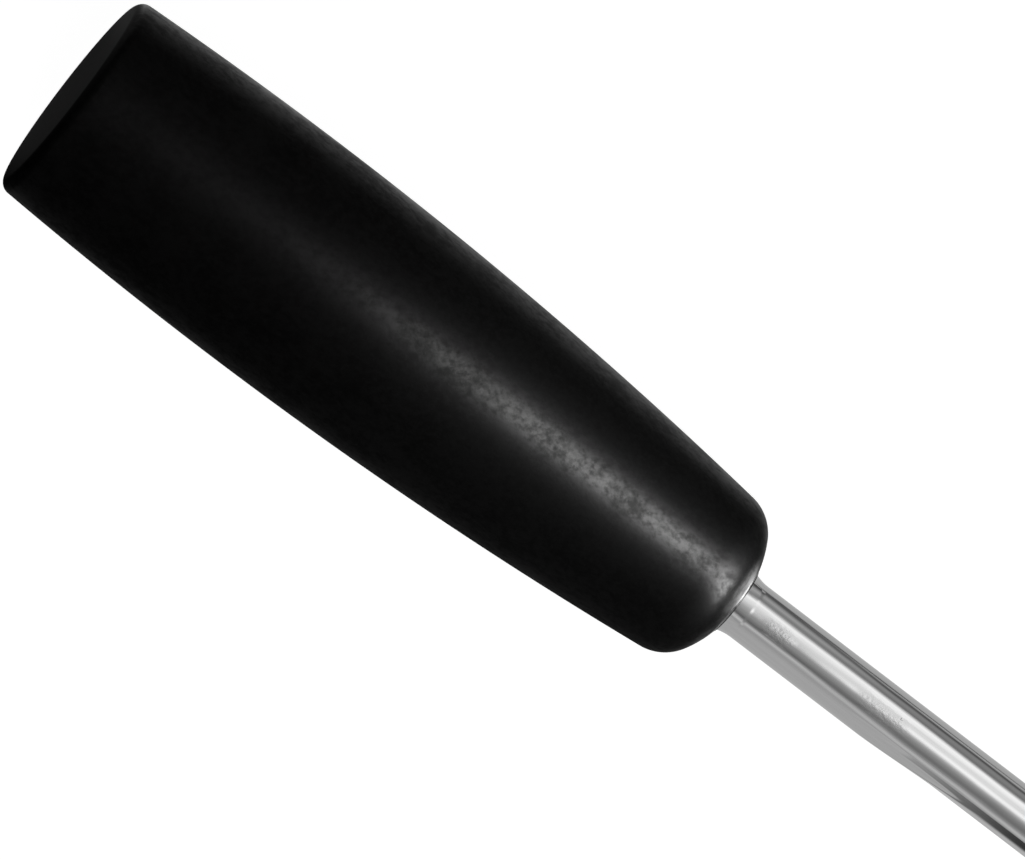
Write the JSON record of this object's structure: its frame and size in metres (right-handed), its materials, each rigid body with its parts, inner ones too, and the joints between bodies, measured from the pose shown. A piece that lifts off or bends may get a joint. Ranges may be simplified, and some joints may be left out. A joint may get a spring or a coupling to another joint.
{
  "type": "ring sizer stick",
  "caption": "Tapered hollow measuring mandrel with engraved ring size lines, carried on a polished steel rod that is set in a black barrel-shaped hand grip.",
  "frame": {"origin": "centre of the flat butt face of the handle", "axes": "+X along the stick from the butt to the tip; the rod's flat and the grub screw face -Y; the middle of the scale faces halfway between +Z and -Y"},
  "size_m": [0.3703, 0.0314, 0.0314],
  "materials": {
    "grip_black": "satin black moulding, slightly smudged",
    "polished_steel": "polished along its length, with fine scratches",
    "spring_steel": "oiled spring steel",
    "turned_aluminium": "fine turned",
    "black_steel": "black oxide",
    "satin_aluminium": "satin, turned",
    "nut_steel": "bright nickel plate"
  },
  "bodies": {
    "root": {"handle": "grip_black", "core_rod": "polished_steel", "retaining_ring": "spring_steel", "base_collar": "turned_aluminium", "grub_screw": "black_steel", "mandrel_sleeve": "satin_aluminium", "tip_bush": "turned_aluminium", "spring_washer": "spring_steel", "tip_nut": "nut_steel"}
  },
  "joints": []
}
